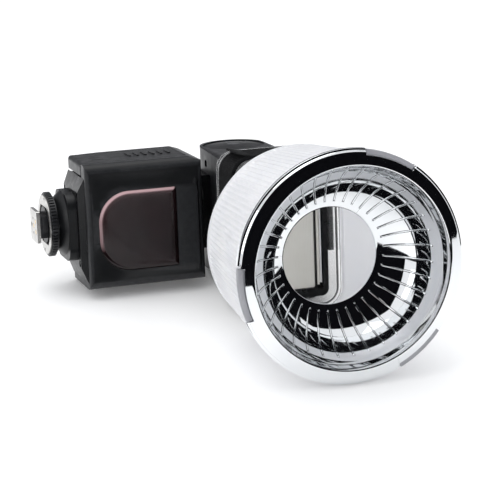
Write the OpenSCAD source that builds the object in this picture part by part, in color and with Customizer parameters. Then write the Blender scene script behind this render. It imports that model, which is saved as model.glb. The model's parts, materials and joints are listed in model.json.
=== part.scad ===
// Hot-shoe electronic flash, lying on its side, with a strapped-on diffuser cup
// and a chrome bowl reflector in the mouth of the cup.
// +X runs up the flash from the sole of the shoe foot, the flash looks towards -Y,
// and +Z is up. The origin is the centre of the sole of the foot.

/* [Shoe] */
// Width of the standard foot across its slide direction
foot_w = 18.6; // [18.5:0.05:18.7]
// Length of the foot along its slide direction
foot_l = 18; // [17.5:0.1:18.5]
// Thickness of the foot plate
foot_t = 2; // [1.9:0.05:2.1]
// Radius of the lock ring over its knurl
ring_r = 18.6; // [18:0.1:19.5]
// Number of grooves round the lock ring
ring_grooves = 60; // [40:2:72]

/* [Body] */
// Width of the body from side to side
body_w = 72; // [71:0.5:73]
// Level of the body's shoe end above the sole
body_low_x = 25.3; // [25:0.1:26]
// Level of the body's head end above the sole
body_high_x = 94; // [93.5:0.5:94]
// Distance from the swivel centreline plane to the front face
body_front = 27; // [26.5:0.5:27.5]
// Distance from the same plane to the rear face
body_rear = 23; // [22.5:0.5:23.5]
// Wall thickness of the shells
wall = 2.2; // [2:0.1:2.4]

/* [Head] */
// Level of the tilt pivot above the sole
pivot_x = 122.7; // [122.5:0.1:123]
// Offset of the tilt pivot towards the rear
pivot_y = 3; // [2.5:0.5:3.5]
// Radius of the rounded rear end of the head
ear_r = 20; // [19.5:0.5:20]
// Width of the head shells
head_w = 72.6; // [72:0.2:73]
// Distance from the origin plane to the front of the head
head_front = 89.5; // [88:0.5:90]

/* [Diffuser] */
// Radius of the back ring of the diffuser cup
cup_back_r = 51.7; // [50:0.1:53]
// Distance from the origin plane to the back ring
cup_back_y = 109; // [108:0.5:110]
// Outer radius of the chrome rim
rim_r = 60.35; // [59:0.05:62]
// Distance from the origin plane to the face of the rim
rim_y = 186.8; // [186:0.2:188]
// Radius of the hole in the middle of the reflector bowl
hole_r = 26.1; // [24:0.1:28]
// Distance from the origin plane to the hole
hole_y = 154.8; // [153:0.2:156]

/* [Pose] */
// Roll about the flash's own length that lets the rim and the body touch a table
lie_roll = 6.6; // [6:0.1:7]

/* [Hidden] */
$fn = 64;
HULL_FN = 32;

EPS = 0.02;
gap = 0.3;                                  // air between pieces that move past each other
half_w = body_w / 2;
front_edge_r = 6;                           // long edges of the front shell
rear_edge_r = 4;                            // long edges of the rear shell
end_edge_r = 3;                             // edges of both ends of the body
wedge_x = 66;                               // the rear face is flat above this level
wedge_drop = 6.5;                           // and falls away by this much at the shoe end
wedge_angle = atan(wedge_drop / (wedge_x - body_low_x));
end_top_x = body_low_x - 3.5;                // outer face of the hipped plate on the shoe end

ring_low_x = 6.2;                           // face of the lock ring
ring_h = 5.0;
ring_top_x = ring_low_x + ring_h;
stem_r = 10.5;

door_low_x = body_low_x;
door_high_x = 86.8;
door_y = [-18, 17];
door_t = 2.4;
door_pin_x = 30.3;                          // hinge pin of the door, held by a sliding carriage
door_pin_z = 33.6;
door_pin_r = 0.8;
door_slide = 1.5;                           // the door slides this far before it swings
door_lip_z = 29.2;                          // the door's low end turns down this far
door_swing_r = 6.8;                         // room round the pin for that end as the door swings
top_slope_x = 87.4;                         // the sides slope in above this level
top_slope = 2.6;

screw_ys = [-18.1, 11.8];                   // screws of the hipped plate
screw_zs = [-21, 18];

cell_r = 7.1;
cell_bore_r = 7.35;
cell_l = 49;
cell_low_z = -22.6;
cell_xs = [39.4, 54.8];
cell_ys = [-8.3, 7.1];
holder_x = [31.2, 63.2];
holder_y = [-16.6, 14.7];

window_x = [31.5, 77.5];
window_z = [-25.5, 20.5];
window_r = 18;
hood_centre = [77, 2];                      // the arc of the screen behind the window
hood_r = 24;
hood_top_z = 20;
lamp_at = [66.5, 8];                        // assist lamp, in the screen's opening
plateau_h = 1.8;
plateau_x = [28.5, 91];
plateau_z = [-30, 25];
plateau_r = 21;

button_r = 4;
button_proud = 1.1;
button_x = 83;
button_zs = [-20, -8, 4];                   // mode, down, up
pilot_z = 24;
board_y = 15.2;                             // rear face of the control board
switch_x = 72;
switch_z = 14;
switch_travel = 3;

port_x = [66, 84];
port_y = [-10, 8];
port_t = 1.5;
port_hinge_y = 7.1;
port_hinge_z = -half_w + 0.9;
socket_x = 75;
socket_y = -2;
socket_bore_r = 1.8;
socket_l = 11;

table_low_x = body_high_x + 0.4;
table_top_x = 98;
table_r = 21;
neck_half_z = 21.6;
neck_barrel_r = 17.6;
neck_half_y = 11.5;
pin_r = 5;

head_half_w = head_w / 2;
head_wall = 2;
head_half_h = 22.9;                         // at the front end of the shells
shell_front_y = -(head_front - 7);
slot_half_z = neck_half_z + 0.5;
slot_wall_y = -15.4;                        // front wall of the slot that the neck swings in
cap_r = 18;
cap_proud = 0.75;
button_hole_r = 4.4;
frame_half_h = 23.2;
frame_half_w = 37.5;
lens_half = [18.6, 32.6];

collar_y = [-99, -46];
collar_in = [24.2, 38.9];                   // half height and half width inside the collar
collar_wall = 1.6;
collar_r = 8;
strap_y = [-79, -55];
strap_t = 1.7;
cup_wall = 1.8;
cup_front_y = -(rim_y - 4.2);
cup_front_r = 58.6;
tab_angles = [68, 188, 308];
tab_span = 26;
tab_in_r = 56.4;

bowl_t = 1.2;
mouth_r = 50.5;
mouth_y = -(rim_y - 6.8);
lip_r = 52.6;
lip_y = -(rim_y + 2.7);
bowl_sweep = 60;                            // angle turned by the bowl's section

// ---- helpers -------------------------------------------------------------------------

// Everything is drawn upright on the flash's own axes and then laid on its side.
module lying() {
    rotate([-lie_roll, 0, 0]) children();
}

// Turns an outline drawn in (Y, Z) so that it is extruded along X.
module along_x(x0, x1) {
    translate([x0, 0, 0]) rotate([90, 0, 90]) linear_extrude(x1 - x0) children();
}

// Turns an outline drawn in (X, Z) so that it is extruded along Y.
module along_y(y0, y1) {
    translate([0, y1, 0]) rotate([90, 0, 0]) linear_extrude(y1 - y0) children();
}

// Extrudes an outline drawn in (X, Y) along Z.
module along_z(z0, z1) {
    translate([0, 0, z0]) linear_extrude(z1 - z0) children();
}

// A box given by its ranges on X, Y and Z.
module block(x, y, z) {
    translate([x[0], y[0], z[0]]) cube([x[1] - x[0], y[1] - y[0], z[1] - z[0]]);
}

// A rod from z0 to z1 at (x, y).
module rod_z(x, y, z0, z1, r) {
    translate([x, y, z0]) cylinder(h = z1 - z0, r = r);
}

// A rod from y0 to y1 at (x, z).
module rod_y(x, z, y0, y1, r) {
    translate([x, y1, z]) rotate([90, 0, 0]) cylinder(h = y1 - y0, r = r);
}

// A rod from x0 to x1 at (y, z).
module rod_x(y, z, x0, x1, r) {
    translate([x0, y, z]) rotate([0, 90, 0]) cylinder(h = x1 - x0, r = r);
}

// A rectangle between two corners with one radius at its low-u corners and one at its high-u corners.
module rounded_rect(u, v, r_low, r_high) {
    union() {
        translate([u[0] + r_low, v[0]]) square([u[1] - u[0] - r_low - r_high, v[1] - v[0]]);
        translate([u[0], v[0] + r_low]) square([r_low + EPS, v[1] - v[0] - 2 * r_low]);
        translate([u[1] - r_high - EPS, v[0] + r_high]) square([r_high + EPS, v[1] - v[0] - 2 * r_high]);
        for (end = [0, 1]) {
            translate([u[0] + r_low, end ? v[1] - r_low : v[0] + r_low]) circle(r_low);
            translate([u[1] - r_high, end ? v[1] - r_high : v[0] + r_high]) circle(r_high);
        }
    }
}

// A surface of revolution about the reflector's axis; the outline is drawn as (radius, distance
// towards the front).
module about_axis() {
    translate([pivot_x, 0, 0]) rotate([90, 0, 0]) rotate_extrude($fn = 128) children();
}

function arc_points(cx, cy, r, a0, a1, n) =
    [for (i = [0 : n]) let (a = a0 + (a1 - a0) * i / n) [cx + r * cos(a), cy + r * sin(a)]];

// ---- shoe ----------------------------------------------------------------------------

module foot_plate() {
    color("gainsboro") lying() difference() {
        along_x(0, foot_t) rounded_rect([-foot_l / 2, foot_l / 2], [-foot_w / 2, foot_w / 2], 1.2, 1.2);
        for (y = [0, -5]) for (z = y == 0 ? [0] : [-3, 3]) rod_x(y, z, -1, 6, 1.5);
        rod_x(5.5, 0, -1, 6, 1.25);
        for (z = [-3.6, 3.6]) rod_x(1.2, z * 1.2, -1, 6, 0.9);
    }
}

module shoe_contacts() {
    color("silver") lying() {
        for (y = [0, -5]) for (z = y == 0 ? [0] : [-3, 3]) rod_x(y, z, 0, 14, 1.3);
    }
}

module foot_screws() {
    color("dimgray") lying() for (z = [-3.6, 3.6]) rod_x(1.2, z * 1.2, 0.2, 12, 0.8);
}

module lock_pin() {
    color("silver") lying() rod_x(5.5, 0, 0.4, 16, 1.0);
}

module shoe_block() {
    color("#1d1e20") lying() difference() {
        union() {
            block([foot_t, ring_low_x], [-foot_l / 2, foot_l / 2], [-6.2, 6.2]);
            rod_x(0, 0, ring_low_x - EPS, ring_top_x + 1, stem_r);
            translate([ring_top_x + 0.3, 0, 0]) rotate([0, 90, 0]) cylinder(h = 5, r1 = 14, r2 = 19);
            along_x(ring_top_x + 5.2, end_top_x - 0.1)
                rounded_rect([-18.5, 14], [-20.5, 18.5], 9, 6);
        }
        for (y = [0, -5]) for (z = y == 0 ? [0] : [-3, 3]) rod_x(y, z, 0, 14.1, 1.4);
        for (z = [-3.6, 3.6]) rod_x(1.2, z * 1.2, 0, 12.1, 0.9);
        rod_x(5.5, 0, 0, 18, 1.25);
    }
}

// The ring's teeth are a regular star outline with flat crests.
module lock_ring() {
    function tooth(i, step, r) = let (a = (i + step) * 360 / ring_grooves) [r * cos(a), r * sin(a)];
    low_r = ring_r - 0.8;
    color("#151617") lying() difference() {
        union() {
            along_x(ring_low_x + 1.2, ring_top_x - 0.9)
                polygon([for (i = [0 : ring_grooves - 1])
                    for (p = [[0, ring_r], [0.5, ring_r], [0.62, low_r], [0.88, low_r]]) tooth(i, p[0], p[1])]);
            rod_x(0, 0, ring_top_x - 1, ring_top_x, ring_r - 1.6);
            rod_x(0, 0, ring_low_x + 0.5, ring_low_x + 1.3, ring_r - 0.9);
        }
        rod_x(0, 0, ring_low_x - 1, ring_top_x + 1, stem_r + 0.06);
        rod_x(0, 0, ring_low_x, ring_low_x + 1.9, ring_r - 1.5);
    }
}

// Chrome face of the ring, with a stepped opening and two holes for a pin wrench.
module lock_ring_face() {
    color("lightgray") lying() difference() {
        rod_x(0, 0, ring_low_x, ring_low_x + 1.8, ring_r - 1.6);
        along_x(ring_low_x - 1, ring_low_x + 2.5) intersection() {
            circle(13.4);
            square([40, 21.6], center = true);
        }
        for (a = [100, 280]) rotate([a, 0, 0]) rod_x(15.4, 0, ring_low_x - 1, ring_low_x + 2.5, 0.9);
    }
}

// ---- body ----------------------------------------------------------------------------

// Side view of the body, drawn in by the inset.
module body_outline(inset) {
    r = end_edge_r - min(inset, end_edge_r - 0.8);
    front = -body_front + inset + r;
    low = body_low_x + inset + r;
    high = body_high_x - inset - r;
    rear = body_rear - inset - r;
    hull() {
        for (p = [[low, front], [high, front], [high, rear], [wedge_x, rear], [low, rear - wedge_drop]])
            translate(p) circle(r, $fn = HULL_FN);
    }
}

// The body's outer form, or its hollow where the inset is the wall.
module front_form(inset) {
    r = front_edge_r - inset;
    intersection() {
        along_z(-half_w + inset, half_w - inset) body_outline(inset);
        along_x(body_low_x - 1, body_high_x + 1)
            rounded_rect([-body_front + inset, 40], [-half_w + inset, half_w - inset], r, 3);
    }
}

module rear_form(inset) {
    r = rear_edge_r - inset;
    intersection() {
        along_z(-half_w + inset, half_w - inset) body_outline(inset);
        along_x(body_low_x - 1, body_high_x + 1)
            rounded_rect([-50, body_rear - inset], [-half_w + inset, half_w - inset], 3, r);
    }
}

module door_cut() {
    y = [door_y[0] - gap, door_y[1] + gap];
    block([body_low_x - 1, door_high_x + gap], y, [half_w - door_t - gap, half_w + 1]);
    for (x = [door_pin_x - door_slide, door_pin_x]) rod_y(x, door_pin_z, y[0], y[1], door_swing_r);
    block([door_pin_x - door_slide, door_pin_x], y, [door_pin_z - door_swing_r, half_w]);
    block([body_low_x - 1, door_pin_x], y, [door_pin_z - 2, half_w]);
}

// Takes the corner off the upper side, where the body narrows towards the neck.
module top_slope_cut() {
    along_y(-60, 60) polygon([
        [top_slope_x, half_w + EPS], [body_high_x + 1, half_w + EPS], [body_high_x + 1, half_w - top_slope]
    ]);
}

module port_cut() {
    block([port_x[0] - gap, port_x[1] + gap], [port_y[0] - gap, port_y[1] + gap + 0.2],
        [-half_w - 1, -half_w + port_t + gap]);
    rod_z(socket_x, socket_y, -half_w - 1, -half_w + 4, 3.6);
}

module plateau() {
    inner = 3.2;
    hull() {
        along_y(-body_front, -body_front + 0.5)
            rounded_rect(plateau_x, plateau_z, plateau_r, 4, $fn = HULL_FN);
        along_y(-body_front - plateau_h, -body_front)
            rounded_rect([plateau_x[0] + inner, plateau_x[1] - 1], [plateau_z[0] + inner, plateau_z[1] - inner],
                plateau_r - inner, 3, $fn = HULL_FN);
    }
}

module front_shell() {
    color("#1a1b1d") lying() difference() {
        union() {
            intersection() {
                difference() {
                    front_form(0);
                    front_form(wall);
                }
                block([0, 200], [-60, 0], [-60, 60]);
            }
            plateau();
        }
        along_y(-body_front - 5, -body_front + wall + 1) rounded_rect(window_x, window_z, window_r, 1.5);
        door_cut();
        top_slope_cut();
        port_cut();
        rod_x(pivot_y, 0, body_high_x - 5, body_high_x + 5, 12);
        block([body_low_x - 1, body_low_x + wall + 1], [-16, 10.1], [-18, 16]);
    }
}

module rear_shell() {
    color("#1a1b1d") lying() difference() {
        intersection() {
            difference() {
                rear_form(0);
                rear_form(wall);
            }
            block([0, 200], [0.05, 60], [-60, 60]);
        }
        door_cut();
        top_slope_cut();
        port_cut();
        rod_x(pivot_y, 0, body_high_x - 5, body_high_x + 5, 12);
        block([body_low_x - 1, body_low_x + wall + 1], [-16, 10.1], [-18, 16]);
        for (z = button_zs) rod_y(button_x, z, 10, 30, button_r + gap);
        rod_y(button_x, pilot_z, 10, 30, button_r + gap);
        block([switch_x - 3.5, switch_x + 3.5 + switch_travel], [10, 30], [switch_z - 2.6, switch_z + 2.6]);
        for (z = [-20, -14]) rod_y(switch_x, z, 10, 30, 1.5);
        scale_place() block([-13.1, 13.1], [-1.0, 3], [-25.1, 25.1]);
    }
}

// The sloping part of the rear face, with its middle as the origin.
module scale_place() {
    mid = (body_low_x + wedge_x) / 2;
    translate([mid, body_rear - wedge_drop / 2, 0]) rotate([0, 0, wedge_angle]) children();
}

module scale_plate() {
    color("#33363a") lying() scale_place() block([-13, 13], [-0.9, -0.15], [-25, 25]);
}

module end_plate() {
    color("#17181a") lying() difference() {
        union() {
            intersection() {
                along_y(-24, 15.5) polygon([
                    [body_low_x - 0.05, -32.5], [end_top_x, -23.5], [end_top_x, 20.5], [body_low_x - 0.05, 28.2]
                ]);
                along_z(-40, 40) polygon([
                    [body_low_x - 0.05, -23.5], [end_top_x, -20.5], [end_top_x, 14], [body_low_x - 0.05, 15.5]
                ]);
            }
            block([end_top_x + 1, body_low_x + wall + 2], [-15.9, 10], [-17.9, 15.9]);
        }
        for (y = screw_ys) for (z = screw_zs) {
            rod_x(y, z, 10, 40, 1.3);
            rod_x(y, z, 10, end_top_x + 1.7, 2.1);
        }
    }
}

module body_screws() {
    color("dimgray") lying() for (y = screw_ys) for (z = screw_zs) {
        rod_x(y, z, end_top_x + 0.5, end_top_x + 1.6, 1.9);
        rod_x(y, z, end_top_x + 1.5, body_low_x - 0.1, 1.2);
    }
}

module sensor_window() {
    inset = 0.15;
    color("#3a0d12", 0.8) lying() along_y(-body_front - plateau_h - 0.9, -body_front + wall - 0.2)
        rounded_rect([window_x[0] + inset, window_x[1] - inset], [window_z[0] + inset, window_z[1] - inset],
            window_r - inset, 1.3);
}

// Outline of the inner screen: square at the top, and swept in an arc to its low corner.
module hood_outline(inset) {
    r = hood_r - inset;
    sweep = 90 - asin(inset / r);
    polygon(concat(
        [[hood_centre[0] - inset, hood_top_z - inset], [hood_centre[0] - r, hood_top_z - inset]],
        arc_points(hood_centre[0], hood_centre[1], r, 180, 180 + sweep, 16)
    ));
}

// Inner screen behind the window.
module sensor_hood() {
    y = -body_front + wall;
    color("#0c0c0e") lying() difference() {
        along_y(y + 0.1, y + 5.4) hood_outline(0);
        along_y(y - 1, y + 4.4) hood_outline(1.5);
        rod_y(lamp_at[0], lamp_at[1], y + 3, y + 8, 4.1);
    }
}

module assist_lamp() {
    y = -body_front + wall;
    color("#7a1020") lying() {
        rod_y(lamp_at[0], lamp_at[1], y + 1.5, y + 5.3, 4);
        block([40, 48], [y + 5.2, y + 7], [-8, 4]);
        rod_y(44, -2, y + 2.2, y + 5.3, 2.5);
    }
}

module battery_holder() {
    color("#26272a") lying() difference() {
        block(holder_x, holder_y, [-30, 26.2]);
        for (x = cell_xs) for (y = cell_ys) rod_z(x, y, cell_low_z - 6, 40, cell_bore_r);
    }
}

module battery_contacts() {
    color("goldenrod") lying() for (x = cell_xs) for (y = cell_ys) {
        rod_z(x, y, cell_low_z - 5.9, cell_low_z - 5.2, 6.5);
        translate([x, y, cell_low_z - 5.3]) cylinder(h = 5.2, r1 = 5.2, r2 = 2.6);
    }
}

module aa_cells() {
    color("slategray") lying() for (x = cell_xs) for (y = cell_ys) {
        rod_z(x, y, cell_low_z, cell_low_z + cell_l, cell_r);
        rod_z(x, y, cell_low_z + cell_l - EPS, cell_low_z + cell_l + 1.3, 2.7);
    }
}

module battery_door() {
    inner_z = half_w - door_t;
    grip_x = [57.5, 81];
    grips = 6;
    color("#1c1d1f") lying() difference() {
        union() {
            intersection() {
                along_z(door_lip_z, half_w)
                    rounded_rect([door_low_x, door_high_x], [door_y[0], door_y[1]], 3, 1.5);
                along_y(door_y[0], door_y[1])
                    rounded_rect([door_low_x, door_high_x + 10], [0, half_w], 2.5, 2.5);
            }
            for (i = [0 : grips - 1])
                along_z(half_w - 0.5, half_w + 0.5)
                    translate([grip_x[0] + (grip_x[1] - grip_x[0]) * i / (grips - 1), -3])
                        rounded_rect([-0.8, 0.8], [-2.5, 8.5], 0.75, 0.75);
        }
        block([door_pin_x + 2, door_high_x + 1], [door_y[0] - 1, door_y[1] + 1], [0, inner_z]);
        rod_y(door_pin_x, door_pin_z, -30, 30, door_pin_r + 0.06);
        for (y = [-7, 0.3])
            along_z(half_w - 0.3, half_w + 1) translate([37, y]) rounded_rect([-3, 4], [0, 0.7], 0.3, 0.3);
    }
}

module door_contact_plate() {
    color("goldenrod") lying() for (y = cell_ys)
        block([cell_xs[0] - 2.5, cell_xs[1] + 5], [y - 3.5, y + 3.5], [half_w - door_t - 1.2, half_w - door_t]);
}

module door_hinge_pin() {
    color("silver") lying() {
        rod_y(door_pin_x, door_pin_z, door_y[0] + 1, door_y[1] - 1, door_pin_r);
    }
}

module main_board() {
    color("#1f4d2e") lying() {
        block([66, 87], [6.6, 7.8], [-30, 30]);
        block([70, 76], [5, 6.7], [-29, -23]);
        block([79, 86], [5.2, 6.7], [-28, -23]);
    }
}

module main_capacitor() {
    color("#20252b") lying() rod_z(75.2, -8, -22, 28, 11);
}

module step_up_transformer() {
    color("#b98b2e") lying() {
        block([69, 79], [7.9, 13.4], [20, 30]);
    }
}

module control_board() {
    color("#1f4d2e") lying() block([67, 87], [board_y - 1.2, board_y], [-30, 30]);
}

// A push button with a hidden flange that keeps it in the shell.
module push_button(x, z) {
    rod_y(x, z, body_rear - 5.2, body_rear + button_proud, button_r);
    rod_y(x, z, body_rear - 5.2, body_rear - 3.6, button_r + 1.1);
}

module mode_button() {
    color("#3b3e43") lying() push_button(button_x, button_zs[0]);
}

module power_down_button() {
    color("#3b3e43") lying() push_button(button_x, button_zs[1]);
}

module power_up_button() {
    color("#3b3e43") lying() push_button(button_x, button_zs[2]);
}

module pilot_button() {
    color("#7a1a18") lying() push_button(button_x, pilot_z);
}

module power_switch() {
    color("#2c2e31") lying() {
        block([switch_x - 3.1, switch_x + 3.1], [body_rear - 4, body_rear + 0.9], [switch_z - 2.2, switch_z + 2.2]);
        block([switch_x - 4.5, switch_x + 4.5], [body_rear - 5, body_rear - 3.2], [switch_z - 3.6, switch_z + 3.6]);
    }
}

module ready_lamps() {
    color("orangered") lying() for (z = [-20, -14])
        rod_y(switch_x, z, board_y + 0.1, body_rear + 0.2, 1.4);
}

module sync_socket() {
    color("#141414") lying() difference() {
        rod_z(socket_x, socket_y, -half_w + port_t + 0.5, -half_w + port_t + 0.5 + socket_l, 3.4);
        rod_z(socket_x, socket_y, -half_w, -half_w + port_t + 0.5 + socket_l + 1, socket_bore_r);
    }
}

module port_cover() {
    color("#101112") lying() {
        along_z(-half_w + 0.1, -half_w + port_t)
            rounded_rect([port_x[0], port_x[1]], [port_y[0], port_hinge_y], 1.5, 1.5);
        rod_x(port_hinge_y, port_hinge_z, port_x[0] + 1, port_x[1] - 1, 0.6);
    }
}

// ---- swivel and neck -----------------------------------------------------------------

module swivel_race() {
    color("gray") lying() difference() {
        rod_x(pivot_y, 0, body_high_x - wall - 2, body_high_x - wall - 0.1, 15);
        rod_x(pivot_y, 0, body_high_x - 10, body_high_x + 1, 10.3);
    }
}

module turntable() {
    color("#141517") lying() difference() {
        union() {
            rod_x(pivot_y, 0, table_low_x, table_top_x, table_r);
            rod_x(pivot_y, 0, body_high_x - wall - 4, table_low_x + EPS, 10.24);
            rod_x(pivot_y, 0, body_high_x - wall - 4.2, body_high_x - wall - 2.4, 12.5);
        }
        rod_x(pivot_y, 0, 80, table_top_x + 1, 7);
    }
}

// The neck and the barrel that the head tilts on, which is split into a front and a rear half.
module neck_form() {
    block([table_top_x + 0.05, pivot_x], [pivot_y - neck_half_y, pivot_y + neck_half_y],
        [-neck_half_z, neck_half_z]);
    rod_z(pivot_x, pivot_y, -neck_half_z, neck_half_z, neck_barrel_r);
}

module neck_hollow() {
    block([table_top_x - 1, pivot_x], [pivot_y - neck_half_y + 2, pivot_y + neck_half_y - 2],
        [-neck_half_z + 3, neck_half_z - 3]);
    rod_z(pivot_x, pivot_y, -neck_half_z + 3, neck_half_z - 3, neck_barrel_r - 2);
    rod_z(pivot_x, pivot_y, -neck_half_z - 1, neck_half_z + 1, pin_r + 0.02);
}

module swivel_neck() {
    color("#17181a") lying() difference() {
        neck_form();
        neck_hollow();
        block([80, 160], [pivot_y, 60], [-40, 40]);
    }
}

module neck_rear_cover() {
    color("#17181a") lying() intersection() {
        difference() {
            neck_form();
            neck_hollow();
        }
        block([80, 160], [pivot_y + 0.05, 60], [-40, 40]);
    }
}

module pivot_pin() {
    color("silver") lying() difference() {
        rod_z(pivot_x, pivot_y, -neck_half_z - 6, neck_half_z + 6, pin_r);
        rod_z(pivot_x, pivot_y, -neck_half_z - 7, neck_half_z + 7, pin_r - 1.4);
    }
}

// ---- head ----------------------------------------------------------------------------

// Side view of the head: a round rear end and a box that widens a little towards the front.
module head_outline(inset) {
    half = ear_r - inset;
    front_half = head_half_h - inset;
    translate([pivot_x, pivot_y]) circle(half);
    polygon([
        [pivot_x - half, pivot_y], [pivot_x - front_half, shell_front_y],
        [pivot_x + front_half, shell_front_y], [pivot_x + half, pivot_y]
    ]);
}

module head_form(inset) {
    z = head_half_w - inset;
    edge = 5 - inset;
    x = head_half_h - inset;
    intersection() {
        along_z(-z, z) head_outline(inset);
        along_y(shell_front_y, 40) rounded_rect([pivot_x - x, pivot_x + x], [-z, z], edge, edge);
    }
}

module head_body() {
    difference() {
        union() {
            difference() {
                head_form(0);
                head_form(head_wall);
            }
            intersection() {
                head_form(0.5);
                difference() {
                    block([90, 160], [slot_wall_y - 1.8, 40], [-slot_half_z - 1.8, slot_half_z + 1.8]);
                    block([80, 170], [-60, slot_wall_y - 1.8], [-slot_half_z, slot_half_z]);
                }
            }
        }
        block([80, 170], [slot_wall_y, 60], [-slot_half_z, slot_half_z]);
        rod_z(pivot_x, pivot_y, -34, 34, pin_r + 0.06);
        for (s = [-1, 1]) rotate([s > 0 ? 0 : 180, 0, 0])
            rod_z(pivot_x, s * pivot_y, head_half_w - 1.3, head_half_w + 1, cap_r + 0.1);
        block([pivot_x + 16.4, pivot_x + 20.6], [-84, -40], [-33, 33]);
        rod_z(pivot_x, pivot_y, 30, 40, button_hole_r);
        for (z = [-28, 28]) ear_screw_place(z) cylinder(h = 6, r = 2.3);
    }
}

// Screws enter the round end of each ear from the front of the shoe side.
module ear_screw_place(z) {
    translate([pivot_x, pivot_y, z]) rotate([0, 0, 205]) translate([ear_r - 2.6, 0, 0])
        rotate([0, 90, 0]) children();
}

module ear_screws() {
    color("#202124") lying() for (z = [-28, 28]) ear_screw_place(z) {
        difference() {
            translate([0, 0, 0.1]) cylinder(h = 2.8, r = 2.2);
            translate([0, 0, 2.1]) cube([2.6, 0.6, 2], center = true);
        }
    }
}

module head_lower_shell() {
    color("#1a1b1d") lying() difference() {
        head_body();
        block([pivot_x, 200], [-100, 60], [-60, 60]);
    }
}

module head_upper_shell() {
    color("#1a1b1d") lying() difference() {
        head_body();
        block([80, pivot_x + 0.05], [-100, 60], [-60, 60]);
    }
}

// Domed covers over the ends of the tilt pivot.
module pivot_caps() {
    dome_r = 110;
    dome_a = asin(cap_r / dome_r);
    top = head_half_w + cap_proud;
    color("#232427") lying() for (s = [-1, 1]) scale_side(s) difference() {
        translate([pivot_x, pivot_y, 0]) rotate_extrude($fn = 128) polygon(concat(
            [[0, head_half_w - 1.2], [cap_r, head_half_w - 1.2]],
            arc_points(0, top - dome_r, dome_r, 90 - dome_a, 90, 6)
        ));
        if (s > 0) rod_z(pivot_x, pivot_y, 30, 40, button_hole_r);
    }
}

module scale_side(s) {
    if (s > 0) {
        children();
    } else {
        mirror([0, 0, 1]) children();
    }
}

module tilt_lock_button() {
    color("#2d2f33") lying() {
        rod_z(pivot_x, pivot_y, head_half_w - 4.6, head_half_w + cap_proud - 0.1, button_hole_r - gap);
    }
}

module head_front_frame() {
    y = -head_front;
    color("#111214") lying() difference() {
        union() {
            along_y(y, shell_front_y - 0.1)
                rounded_rect([pivot_x - frame_half_h, pivot_x + frame_half_h], [-frame_half_w, frame_half_w], 4, 4);
            along_y(shell_front_y - 0.2, shell_front_y + 4)
                rounded_rect([pivot_x - 20.6, pivot_x + 20.6], [-34, 34], 2.5, 2.5);
        }
        along_y(y - 1, 0) rounded_rect([pivot_x - lens_half[0], pivot_x + lens_half[0] - 3],
            [-lens_half[1], lens_half[1]], 1.5, 1.5);
        block([pivot_x + 16.4, pivot_x + 20.0], [-100, -60], [-33, 33]);
    }
}

module fresnel_lens() {
    y = -head_front;
    color("#d9d6cc", 0.7) lying() along_y(y + 1.2, y + 3.4)
        rounded_rect([pivot_x - lens_half[0] + 0.1, pivot_x + lens_half[0] - 3.1],
            [-lens_half[1] + 0.1, lens_half[1] - 0.1], 1.4, 1.4);
}

// Trough behind the lens that opens from the tube to the front.
module tube_reflector() {
    y_front = -head_front + 8;
    y_back = y_front + 26;
    t = 0.8;
    x = pivot_x - 1.5;
    color("silver") lying() difference() {
        along_z(-30, 30) polygon([[x - 15.5, y_front], [x - 5, y_back], [x + 5, y_back], [x + 15.5, y_front]]);
        along_z(-30 + t, 30 - t) polygon([
            [x - 15.5 + t, y_front - 1], [x - 5 + t, y_back - t], [x + 5 - t, y_back - t],
            [x + 15.5 - t, y_front - 1]
        ]);
        rod_z(x, y_back - 6, -40, 40, 2.3);
    }
}

module flash_tube() {
    x = pivot_x - 1.5;
    y = -head_front + 28;
    color("#dfe9ee", 0.6) lying() {
        rod_z(x, y, -32.6, 32.6, 2.0);
        for (s = [-1, 1]) scale_side(s) rod_z(x, y, 30.6, 33.4, 2.25);
    }
}

module head_board() {
    color("#1f4d2e") lying() {
        block([pivot_x - 13, pivot_x + 13], [-36, -34.8], [-30, 30]);
        block([pivot_x - 8, pivot_x + 2], [-46, -35.9], [-26, -14]);
    }
}

module wide_panel() {
    color("#dfe3e6", 0.5) lying() block([pivot_x + 16.7, pivot_x + 17.9], [-head_front + 0.3, -44], [-31, 31]);
}

module bounce_card() {
    color("white") lying() block([pivot_x + 18.4, pivot_x + 19.4], [-head_front + 0.3, -44], [-30, 30]);
}

// ---- diffuser ------------------------------------------------------------------------

module collar_section(grow) {
    h = collar_in[0] + grow;
    w = collar_in[1] + grow;
    rounded_rect([pivot_x - h, pivot_x + h], [-w, w], collar_r + grow, collar_r + grow);
}

module adapter_collar() {
    color("#e8ecef", 0.5) lying() difference() {
        union() {
            along_y(collar_y[0], collar_y[1]) collar_section(collar_wall);
            along_y(collar_y[0], collar_y[0] + 2) collar_section(collar_wall + 1.4);
            along_y(collar_y[1] - 2, collar_y[1]) collar_section(collar_wall + 0.7);
        }
        along_y(collar_y[0] - 1, collar_y[1] + 1) collar_section(0);
    }
}

module grip_pads() {
    side_z = 20;
    color("#3a3a3c") lying() for (s = [-1, 1]) {
        block(s > 0 ? [pivot_x + 23.5, pivot_x + 24.15] : [pivot_x - 24.15, pivot_x - 23.5],
            [-75, -55], [-side_z, side_z]);
        block([pivot_x - 12, pivot_x + 12], [-75, -55], s > 0 ? [37.8, 38.85] : [-38.85, -37.8]);
    }
}

module strap() {
    color("#141414") lying() along_y(strap_y[0], strap_y[1]) difference() {
        collar_section(collar_wall + 0.1 + strap_t);
        collar_section(collar_wall + 0.1);
    }
}

// Loose end of the strap, standing off the shoe-side corner.
module strap_tail() {
    z0 = collar_in[1] + collar_wall + 0.1 + strap_t;
    x0 = pivot_x - 15;
    color("#141414") lying() translate([x0, 0, z0 + 0.1]) rotate([0, 8, 0])
        block([-11, 0], [strap_y[0] + 1, strap_y[1] - 1], [0, 1.5]);
}

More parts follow.
